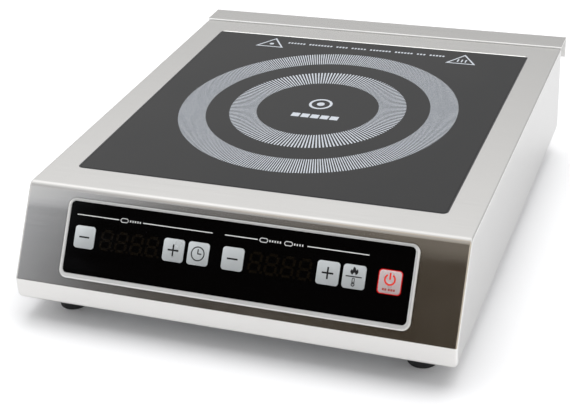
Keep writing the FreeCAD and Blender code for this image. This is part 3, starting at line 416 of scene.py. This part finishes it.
# ---- materials of the other pieces --------------------------------------------------------------
def moulded(name, color, roughness=0.45, grain_scale=900.0, grain_strength=0.12):
    """Moulded plastic or rubber: a fine grain, a slow change of shade, and dust on the grain."""
    material, tree, shader = new_material(name)
    slow = noise(tree, 40.0)
    fine = noise(tree, grain_scale)
    dusty = tuple(min(1.0, c * 1.5 + 0.02) for c in color)
    base = blend_colors(tree, spread(tree, slow), darker(color, 0.75), color)
    base = blend_colors(tree, remap(tree, fine, 0.58, 0.80, 0.0, 0.18), base, dusty)
    feed(tree, shader, Base_Color=base,
         Roughness=spread(tree, slow, roughness - 0.05, roughness + 0.05),
         Normal=bump(tree, fine, grain_strength, 0.00008))
    return material


def plated(name, color, roughness=0.28):
    """Plated, turned or extruded metal: cloudy colour, fine pitting."""
    material, tree, shader = new_material(name)
    cloud = noise(tree, 220.0, 4.0, 0.6)
    feed(tree, shader, Base_Color=blend_colors(tree, spread(tree, cloud), darker(color, 0.8), color),
         Metallic=1.0, Roughness=spread(tree, cloud, roughness - 0.06, roughness + 0.1),
         Normal=bump(tree, noise(tree, 1500.0, 2.0), 0.08, 0.00005))
    return material


def galvanised():
    """Galvanised sheet with its spangle."""
    material, tree, shader = new_material("galvanised_sheet")
    spangle = cells(tree, 150.0, 0)
    dirt = remap(tree, noise(tree, 18.0, 5.0, 0.65), 0.45, 0.8, 0.0, 0.25)
    base = blend_colors(tree, spangle, (0.42, 0.44, 0.46), (0.62, 0.64, 0.66))
    feed(tree, shader, Base_Color=blend_colors(tree, dirt, base, (0.30, 0.29, 0.27)), Metallic=0.9,
         Roughness=remap(tree, spangle, 0.0, 1.0, 0.34, 0.52), Normal=bump(tree, spangle, 0.05, 0.0001))
    return material


def circuit_board():
    """Green lacquered laminate with copper tracks under the lacquer and a woven texture."""
    material, tree, shader = new_material("green_board")
    tracks = add(tree, "ShaderNodeTexBrick", {
        "Vector": object_place(tree), "Scale": 110.0, "Mortar Size": 0.10, "Bias": 0.0,
        "Brick Width": 0.9, "Row Height": 0.22,
    }).outputs["Fac"]
    weave = noise(tree, 1400.0, 2.0)
    base = blend_colors(tree, tracks, (0.012, 0.085, 0.030), (0.030, 0.150, 0.050))
    base = blend_colors(tree, remap(tree, weave, 0.4, 0.7, 0.0, 0.3), base, (0.010, 0.060, 0.022))
    feed(tree, shader, Base_Color=base, Roughness=spread(tree, weave, 0.28, 0.42),
         Normal=bump(tree, tracks, 0.15, 0.00005))
    return material


def wound_copper(name, strands=366.67):
    """Varnished stranded copper: fine diagonal strands, with painted shade in the grooves between them.
    """
    material, tree, shader = new_material(name)
    groove = add(tree, "ShaderNodeTexWave", {
        "Vector": object_place(tree), "Scale": strands, "Distortion": 2.0, "Detail": 2.0,
    }, bands_direction="DIAGONAL").outputs["Fac"]
    # painted shade: the grooves between the strands are painted darker
    feed(tree, shader, Base_Color=blend_colors(tree, groove, (0.22, 0.085, 0.03), (0.62, 0.29, 0.12)),
         Metallic=0.85, Roughness=spread(tree, noise(tree, 300.0), 0.28, 0.45),
         Normal=bump(tree, groove, 0.5, 0.0002))
    return material


def mica():
    """Pressed flakes of mica."""
    material, tree, shader = new_material("mica_sheet")
    flake = cells(tree, 420.0, 1)
    feed(tree, shader, Base_Color=blend_colors(tree, flake, (0.50, 0.44, 0.33), (0.70, 0.64, 0.52)),
         Roughness=remap(tree, flake, 0.0, 1.0, 0.32, 0.6), Normal=bump(tree, flake, 0.1, 0.0001))
    return material


def ink(name, color, roughness=0.32, glow=0.0):
    """Printed ink: a little uneven in cover."""
    material, tree, shader = new_material(name)
    cover = noise(tree, 700.0)
    worn = remap(tree, cover, 0.4, 0.75, 0.0, 0.5)
    feed(tree, shader, Base_Color=blend_colors(tree, worn, color, darker(color, 0.82)),
         Roughness=spread(tree, cover, roughness - 0.06, roughness + 0.06),
         Normal=bump(tree, cover, 0.05, 0.00002))
    if glow:
        feed(tree, shader, Emission_Color=color, Emission_Strength=glow)
    return material


def dress(node, material):
    """Gives every slot of a CAD node one material."""
    mesh_object = NODES[node]
    if not mesh_object.material_slots:
        mesh_object.data.materials.append(material)
    for slot in mesh_object.material_slots:
        slot.material = material


def outer_looks():
    """Materials of what can be seen from outside, and of the frame under the glass, by node."""
    sheet = galvanised()
    return {
        "top_casing": brushed_steel("brushed_stainless", (0.77, 0.76, 0.745)),
        "rear_lip": brushed_steel("brushed_stainless_lip", (0.73, 0.72, 0.705), nose_highlight=0.85),
        "rear_panel": brushed_steel("brushed_stainless_back", (0.62, 0.62, 0.61), 0.36),
        "base_tray": sheet,
        "glass_support_frame": sheet,
        "glass_plate": glass_ceramic(),
        "glass_seal": joint_silicone(),
        "panel_bezel": satin("bezel_satin", (0.86, 0.86, 0.85), 0.35, bezel_shade),
        "panel_overlay": gloss_window(),
        "indicator_lenses": moulded("lens_smoked", (0.010, 0.010, 0.012), 0.12, 900.0, 0.03),
        "on_off_light_ring": lit_plastic(),
        "key_on_off": satin("key_on_off_silver", (0.97, 0.82, 0.82), 0.25, key_shade, coat=0.2),
        "feet": moulded("foot_rubber", (0.022, 0.022, 0.024), 0.68, 1300.0, 0.35),
        "cable_gland": moulded("gland_nylon", (0.030, 0.030, 0.032), 0.5, 900.0, 0.2),
    }


def inner_looks():
    """Materials of what is inside, by node."""
    green = circuit_board()
    black = moulded("black_plastic", (0.020, 0.020, 0.022), 0.42)
    grey = moulded("grey_plastic", (0.42, 0.43, 0.43), 0.5)
    chip = moulded("chip_epoxy", (0.022, 0.022, 0.024), 0.55, 1800.0, 0.2)
    yellow = moulded("capacitor_box", (0.62, 0.47, 0.10), 0.38, 1300.0, 0.06)
    rotor = moulded("fan_rotor_plastic", (0.030, 0.030, 0.032), 0.38, 800.0, 0.08)
    return {
        "key_switches": black,
        "buzzer": black,
        "standby_transformer": black,
        "gland_locknut": black,
        "fan_frames": black,
        "fan_rotor_left": rotor,
        "fan_rotor_right": rotor,
        "control_board": green,
        "main_board": green,
        "control_chips": chip,
        "power_semiconductors": chip,
        "coil_carrier": grey,
        "ribbon_cable": grey,
        "resonant_capacitors": yellow,
        "filter_capacitors": yellow,
        "coil_winding": wound_copper("stranded_copper"),
        "filter_choke": wound_copper("choke_winding", 150.0),
        "fan_stators": wound_copper("stator_winding", 250.0),
        "mica_sheet": mica(),
        "heat_sink": plated("extruded_aluminium", (0.66, 0.67, 0.68), 0.4),
        "coil_terminals": plated("brass_plate", (0.70, 0.52, 0.22), 0.3),
        "digit_displays": moulded("display_potting", (0.030, 0.030, 0.030), 0.6, 1500.0, 0.2),
        "ferrite_bars": moulded("sintered_ferrite", (0.050, 0.050, 0.055), 0.62, 700.0, 0.5),
        "thermistor": moulded("thermistor_cap", (0.70, 0.69, 0.66), 0.5),
        "mains_terminal": moulded("terminal_green", (0.05, 0.20, 0.12), 0.42),
        "fuse_and_relay": moulded("relay_blue", (0.05, 0.10, 0.25), 0.42),
        "ribbon_sockets": moulded("socket_white", (0.70, 0.69, 0.64)),
        "coil_leads": moulded("sleeved_lead", (0.62, 0.60, 0.56), 0.55, 1200.0, 0.3),
        "signal_leads": moulded("signal_lead_red", (0.45, 0.04, 0.03), 0.45, 1200.0, 0.1),
    }


def dress_nodes():
    """Every node gets its own look, or its kind's: a key's, a screw's or shaft's, or zinc plate."""
    looks = {**outer_looks(), **inner_looks()}
    key = satin("key_silver", (0.88, 0.925, 0.94), 0.30, key_shade, coat=0.2)
    bright = plated("stainless_fastener", (0.68, 0.67, 0.65), 0.22)
    zinc = plated("zinc_plate", (0.62, 0.62, 0.60))
    for name in NODES:
        if name in looks:
            dress(name, looks[name])
        elif name.startswith("key_"):
            dress(name, key)
        elif "screw" in name or "shaft" in name:
            dress(name, bright)
        else:
            dress(name, zinc)


# ---- printed shapes -----------------------------------------------------------------------------
# A shape is a list of outlines, and an outline is a list of (x, y) points in millimetres.
def bar(x0, y0, x1, y1, width):
    """A straight stroke."""
    length = math.hypot(x1 - x0, y1 - y0)
    dx = -(y1 - y0) / length * width / 2
    dy = (x1 - x0) / length * width / 2
    return [(x0 + dx, y0 + dy), (x0 - dx, y0 - dy), (x1 - dx, y1 - dy), (x1 + dx, y1 + dy)]


def block(x, y, width, height):
    """A filled rectangle around a point."""
    return bar(x - width / 2, y, x + width / 2, y, height)


def arc_points(x, y, radius, start, end, steps):
    """Points from one angle to another in degrees, both included."""
    angles = [math.radians(start + (end - start) * i / steps) for i in range(steps + 1)]
    return [(x + radius * math.cos(a), y + radius * math.sin(a)) for a in angles]


def arc_band(x, y, outer, inner, start, end, steps=24):
    """Part of a ring, from one angle to another in degrees."""
    return arc_points(x, y, outer, start, end, steps) + arc_points(x, y, inner, start, end, steps)[::-1]


def ring(x, y, outer, inner, steps=24):
    return [arc_band(x, y, outer, inner, 0, 180, steps), arc_band(x, y, outer, inner, 180, 360, steps)]


def dot(x, y, radius, steps=24):
    return arc_points(x, y, radius, 0, 360, steps)[:-1]


def loop_band(points, width):
    """The strokes of a closed polygon, mitred at its corners. The points go anticlockwise."""
    count = len(points)
    inner = []
    for i, here in enumerate(points):
        before, after = points[i - 1], points[(i + 1) % count]
        a = Vector((here[0] - before[0], here[1] - before[1])).normalized()
        b = Vector((after[0] - here[0], after[1] - here[1])).normalized()
        bisector = (b - a).normalized()
        sine = max(0.2, abs(a.x * bisector.y - a.y * bisector.x))
        inner.append((here[0] + bisector.x * width / sine, here[1] + bisector.y * width / sine))
    return [[points[i], points[(i + 1) % count], inner[(i + 1) % count], inner[i]] for i in range(count)]


def greeked_line(x0, y, letters, size, height, gap, word_gap=0.0):
    """Words stood in for by rows of small blocks. Letters are the number of blocks in each word."""
    shape = []
    x = x0
    for count in letters:
        for _ in range(count):
            shape.append(block(x + size / 2, y, size, height))
            x += size + gap
        x += word_gap
    return shape


def printed(name, outlines, material, place, body=HOUSING, thickness=0.03, lift=0.008):
    """A thin closed solid for each outline, laid where place puts (x, y, height), in the material that it
    is given."""
    mesh = bmesh.new()
    for outline in outlines:
        area = sum(a[0] * b[1] - b[0] * a[1] for a, b in zip(outline, outline[1:] + outline[:1]))
        points = outline if area > 0 else outline[::-1]
        low = [mesh.verts.new(place(x, y, lift)) for x, y in points]
        high = [mesh.verts.new(place(x, y, lift + thickness)) for x, y in points]
        mesh.faces.new(high)
        mesh.faces.new(low[::-1])
        for i in range(len(points)):
            j = (i + 1) % len(points)
            mesh.faces.new((low[i], low[j], high[j], high[i]))
    data = bpy.data.meshes.new(name)
    mesh.to_mesh(data)
    mesh.free()
    data.materials.append(material)
    piece = new_object(name, data)
    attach(piece, body)


# ---- the glass ----------------------------------------------------------------------------------
RINGS = (("outer", 111.5, 89.5, 340), ("inner", 70.6, 48.8, 160))   # outer and inner radius, and rays
RAY_COVER = 0.44                # share of a ring that is ink
MARK_UP = 8.0                   # the ring and dot in the middle, behind the glass's centre
MARK_BLOCKS_UP = -15.0          # the row of blocks before it
LEFT_SIGN = (-84.6, 113.9)      # middle of each triangle's base
RIGHT_SIGN = (88.8, 113.0)
SIGN_HALF = 13.0                # half width, height and band of a triangle
SIGN_HEIGHT = 20.0
SIGN_BAND = 1.35
TEXT_START = (-70.5, 125.8)
TEXT_WORDS = (6, 8, 4, 5, 7, 6, 3, 5)


def glass_place():
    """Places shapes on the glass, from its middle."""
    low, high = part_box("glass_plate")
    centre = (low + high) / 2

    def place(x, y, height):
        return Vector((centre.x + x * MM, centre.y + y * MM, high.z + height * MM))

    return place


def rays(outer, inner, count):
    """A ring drawn as narrow rays."""
    pitch = 360.0 / count
    half = pitch * RAY_COVER / 2
    return [arc_band(0, 0, outer, inner, i * pitch - half, i * pitch + half, 1) for i in range(count)]


def sign(middle):
    """The outline of a triangle that stands on the middle of its base."""
    x, base = middle
    return loop_band([(x - SIGN_HALF, base), (x + SIGN_HALF, base), (x, base + SIGN_HEIGHT)], SIGN_BAND)


def print_glass():
    place = glass_place()
    white = ink("glass_print", (0.55, 0.585, 0.64), 0.28)
    for name, outer, inner, count in RINGS:
        printed("glass_print_ring_" + name, rays(outer, inner, count), white, place)
    mark = ring(0, MARK_UP, 9.5, 7.4, 32) + [dot(0, MARK_UP, 3.2)]
    mark += greeked_line(-16.5, MARK_BLOCKS_UP, (5,), size=6.6, height=6.4, gap=1.4)
    printed("glass_print_centre", mark, white, place)
    marks = sign(LEFT_SIGN) + sign(RIGHT_SIGN)
    marks.append(dot(LEFT_SIGN[0], LEFT_SIGN[1] + 6.8, 2.0))
    marks += [block(RIGHT_SIGN[0] + across, RIGHT_SIGN[1] + 6.4, 1.2, 5.6) for across in (-3.4, 0.0, 3.4)]
    marks += greeked_line(*TEXT_START, TEXT_WORDS, size=1.75, height=2.7, gap=1.05, word_gap=2.9)
    printed("glass_print_marks", marks, white, place)


# ---- the control panel --------------------------------------------------------------------------
KEY_DOME = 130.0                # radius of a key's crowned face
STROKE = 1.15                   # width of a key symbol's strokes


def key_place(node):
    """Places shapes on a key's crowned face, from its middle."""
    low, high = panel_extent(node)
    x0, y0 = (low[0] + high[0]) / 2, (low[1] + high[1]) / 2

    def place(x, y, height):
        sag = (x * x + y * y) / (2 * KEY_DOME)
        return panel_point(x0 + x, y0 + y, high[2] + height - sag)

    return place


def window_place():
    """Places shapes on the panel's window, from the middle of the hob and the keys' centre line."""
    key_low, key_high = panel_extent("key_power_minus")
    key_line = (key_low[1] + key_high[1]) / 2
    face = panel_extent("panel_overlay")[1][2]

    def place(x, y, height):
        return panel_point(x, key_line + y, face + height)

    return place


def stroke(x0, y0, x1, y1, width):
    """A bar in short pieces, so that it follows the crown of a key."""
    count = max(1, round(math.hypot(x1 - x0, y1 - y0)))
    stops = [(x0 + (x1 - x0) * i / count, y0 + (y1 - y0) * i / count) for i in range(count + 1)]
    return [bar(*a, *b, width) for a, b in zip(stops, stops[1:])]


def minus_symbol():
    return stroke(-4.0, 0, 4.0, 0, STROKE)


def plus_symbol():
    half = STROKE / 2
    upright = stroke(0, half, 0, 4.1, STROKE) + stroke(0, -4.1, 0, -half, STROKE)
    return stroke(-4.1, 0, 4.1, 0, STROKE) + upright


def clock_symbol():
    return ring(0, 0, 5.15, 4.4, 28) + stroke(0, -0.4, 0, 3.3, 0.8) + stroke(0.4, 0, 2.8, 0, 0.8)


def power_symbol():
    return [arc_band(0, 1.6, 4.0, 2.9, 120, 420, 32)] + stroke(0, 1.6, 0, 6.2, 1.1)


def flame_outline():
    """A plain flame with two tongues, 5.6 wide and 5.5 high, standing on y = 0."""
    return [
        (-1.1, 0.0), (-2.2, 0.7), (-2.8, 1.9), (-2.5, 3.0), (-1.9, 3.7), (-1.6, 2.8), (-1.0, 3.9),
        (-0.9, 4.9), (-0.3, 5.5), (0.5, 4.8), (1.0, 3.9), (1.2, 3.1), (1.7, 3.5), (2.0, 4.1),
        (2.6, 3.2), (2.8, 2.0), (2.3, 0.8), (1.2, 0.0), (0.9, 0.9), (0.2, 1.7), (-0.5, 1.1),
    ]


def thermometer():
    """A thin bulb with its stem and the line in it."""
    bulb = ring(0, -5.2, 1.3, 0.7, 14)
    sides = [bar(x, -4.2, x, -1.6, 0.5) for x in (-0.75, 0.75)]
    return bulb + sides + [bar(0, -5.0, 0, -3.2, 0.5), arc_band(0, -1.6, 1.0, 0.5, 0, 180, 8)]


def function_symbol():
    """A flame over a line, with a thermometer under it."""
    flame = [(x, y + 1.3) for x, y in flame_outline()]
    return [flame] + stroke(-5.6, 0.1, 5.6, 0.1, 0.75) + thermometer()


def print_keys():
    black = ink("key_print", (0.004, 0.004, 0.005), 0.5)
    red = ink("key_print_red", (0.75, 0.035, 0.02), 0.35, glow=0.25)
    shapes = {
        "key_timer_minus": minus_symbol(),
        "key_timer_plus": plus_symbol(),
        "key_timer_mode": clock_symbol(),
        "key_power_minus": minus_symbol(),
        "key_power_plus": plus_symbol(),
        "key_function": function_symbol(),
        "key_on_off": power_symbol(),
    }
    for node, shape in shapes.items():
        look = red if node == "key_on_off" else black
        printed(node + "_symbol", shape, look, key_place(node), node + "_button",
                thickness=0.05, lift=0.012)
    caption = greeked_line(-4.6, -5.2, (2, 3), size=1.35, height=1.5, gap=0.35, word_gap=0.7)
    printed("key_on_off_caption", caption, ink("key_caption", (0.50, 0.10, 0.08), 0.4),
            key_place("key_on_off"), "key_on_off_button")


# Top line of the panel: (from, to) of each stroke, and the lamps and captions between them.
LINE_UP = 15.8                  # above the keys' centre line
LINE_STROKES = ((-121.6, -88.1), (-69.2, -15.7), (-6.3, 18.0), (54.2, 98.0))
LINE_WIDTH = 0.62
LAMPS = (-83.8, 22.5, 40.6)
LAMP_HALF = (3.1, 1.6)          # half width and half height
LAMP_CUT = 1.1                  # its corners are cut off
LAMP_BAND = 0.45
CAPTIONS = ((-79.4, 5), (26.6, 5), (44.6, 4))   # start, and number of blocks


def lamp_frame(x):
    """The outline around a lamp."""
    w, h = LAMP_HALF
    cut = LAMP_CUT
    outline = [(-w + cut, -h), (w - cut, -h), (w, -h + cut), (w, h - cut),
               (w - cut, h), (-w + cut, h), (-w, h - cut), (-w, -h + cut)]
    return loop_band([(x + px, LINE_UP + py) for px, py in outline], LAMP_BAND)


def print_panel():
    place = window_place()
    white = ink("panel_print", (0.88, 0.89, 0.88), 0.3)
    strokes = [bar(x0, LINE_UP, x1, LINE_UP, LINE_WIDTH) for x0, x1 in LINE_STROKES]
    printed("panel_print_lines", strokes, white, place)
    lamps = []
    for x in LAMPS:
        lamps += lamp_frame(x)
    printed("panel_print_lamps", lamps, white, place)
    words = []
    for x, count in CAPTIONS:
        words += greeked_line(x, LINE_UP, (count,), size=0.85, height=1.4, gap=1.05)
    printed("panel_print_captions", words, white, place)


DISPLAYS = {"left": -77.8, "right": 36.4}       # middle of each display
DIGIT_COUNT = 4
DIGIT_PITCH = 12.0
DIGIT_W = 7.6
DIGIT_H = 13.0
SEGMENT = 1.9                   # width of a bar
SEGMENT_GAP = 0.9               # from a digit's corner to a bar's end
POINT_RADIUS = 0.9
SLANT = 0.12


def seven_segments(x, y):
    """The seven bars and the point of one digit, leaning to the right."""
    w, h, g = DIGIT_W / 2, DIGIT_H / 2, SEGMENT_GAP
    level = [(-w + g, up, w - g, up) for up in (h, 0, -h)]
    upright = [(sx * w, sy * g, sx * w, sy * (h - g)) for sx in (-1, 1) for sy in (-1, 1)]
    shape = [bar(*ends, SEGMENT) for ends in level + upright] + [dot(w + 2.2, -h, POINT_RADIUS, 12)]
    return [[(x + px + SLANT * py, y + py) for px, py in outline] for outline in shape]


def print_digits():
    place = window_place()
    dim = ink("unlit_segment", (0.0060, 0.0045, 0.0030), 0.10)
    for side, centre in DISPLAYS.items():
        shape = []
        for i in range(DIGIT_COUNT):
            shape += seven_segments(centre + (i - (DIGIT_COUNT - 1) / 2) * DIGIT_PITCH, 0.0)
        printed("digit_segments_" + side, shape, dim, place, thickness=0.01, lift=0.004)


# ---- floor, world and lights --------------------------------------------------------------------
FLOOR_HALF = 6.0                # half the width of the floor
HORIZON = 0.64                  # radiance of the studio's walls: low down, half way and high up
MIDDLE = 1.02
WALL = 1.30
DARK = (0.020, 0.012, 0.003)    # radiance of the dark patch in front
SUN_STRENGTH = 1.66
SUN_WIDTH = math.radians(60.0)
SUN_DIRECTION = Vector((-0.05, -0.3, -1.0))


def add_floor():
    low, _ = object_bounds()
    mesh = bmesh.new()
    bmesh.ops.create_grid(mesh, x_segments=8, y_segments=8, size=FLOOR_HALF)
    data = bpy.data.meshes.new("floor")
    mesh.to_mesh(data)
    mesh.free()
    floor = new_object("floor", data)
    floor.location.z = low.z
    material, tree, shader = new_material("floor_white")
    feed(tree, shader, Base_Color=(0.93, 0.93, 0.94), Roughness=0.9, Specular_IOR_Level=0.1,
         Emission_Color=(1.0, 1.0, 1.0), Emission_Strength=0.04)
    data.materials.append(material)


def wall_light(tree, x, y, z):
    """Brightness of the walls: brightest high up at the back, and brighter on the left."""
    lower = remap(tree, z, 0.36, 0.50, HORIZON, MIDDLE)
    upper = remap(tree, z, 0.50, 0.80, 0.0, WALL - MIDDLE)
    wall = product(tree, maths(tree, "ADD", lower, upper), remap(tree, x, -0.55, -0.10, 1.12, 0.92))
    front = remap(tree, y, -0.15, 0.35, 0.42, 1.0)
    return product(tree, wall, blend_values(tree, fade(tree, z, 0.55, 0.75), 1.0, front))


def tinted(tree, brightness, cool):
    """The brightness as a colour, bluer where cool is 1."""
    red = product(tree, brightness, remap(tree, cool, 0.0, 1.0, 1.0, 0.90))
    blue = product(tree, brightness, remap(tree, cool, 0.0, 1.0, 1.0, 1.16))
    return add(tree, "ShaderNodeCombineXYZ", {0: red, 1: brightness, 2: blue}).outputs[0]


def add_world():
    """A pale studio with a dark patch in front of the object, which is cool along its left edge."""
    world = bpy.data.worlds.new("studio")
    world.use_nodes = True
    bpy.context.scene.world = world
    tree = world.node_tree
    tree.nodes.clear()
    x, y, z = split(tree, add(tree, "ShaderNodeTexCoord").outputs["Generated"])
    ahead = maths(tree, "MAXIMUM", maths(tree, "MULTIPLY", y, -1.0), 0.05)
    sideways = maths(tree, "DIVIDE", x, ahead)
    patch = product(
        tree,
        fade(tree, sideways, -0.82, -0.60),
        fade(tree, sideways, 0.50, 0.80, 1.0, 0.0),
        fade(tree, z, 0.57, 0.88, 1.0, 0.0),
        fade(tree, y, -0.15, -0.05, 1.0, 0.0),
    )
    cool = product(tree, fade(tree, sideways, -0.80, -0.66), fade(tree, sideways, -0.55, -0.35, 1.0, 0.0))
    color = blend_colors(tree, patch, tinted(tree, wall_light(tree, x, y, z), cool), DARK)
    background = add(tree, "ShaderNodeBackground", {"Color": color, "Strength": 1.0})
    add(tree, "ShaderNodeOutputWorld", {0: background.outputs[0]})


def add_light():
    """One very wide soft light from above and a little behind, which doesn't show in the gloss."""
    data = bpy.data.lights.new("overhead", "SUN")
    data.energy = SUN_STRENGTH
    data.angle = SUN_WIDTH
    light = new_object("overhead", data)
    light.rotation_mode = "QUATERNION"
    light.rotation_quaternion = SUN_DIRECTION.to_track_quat("-Z", "Y")
    light.visible_glossy = False


add_camera()
dress_nodes()
print_glass()
print_keys()
print_panel()
print_digits()
add_floor()
add_world()
add_light()
bpy.context.scene.view_settings.view_transform = "Standard"
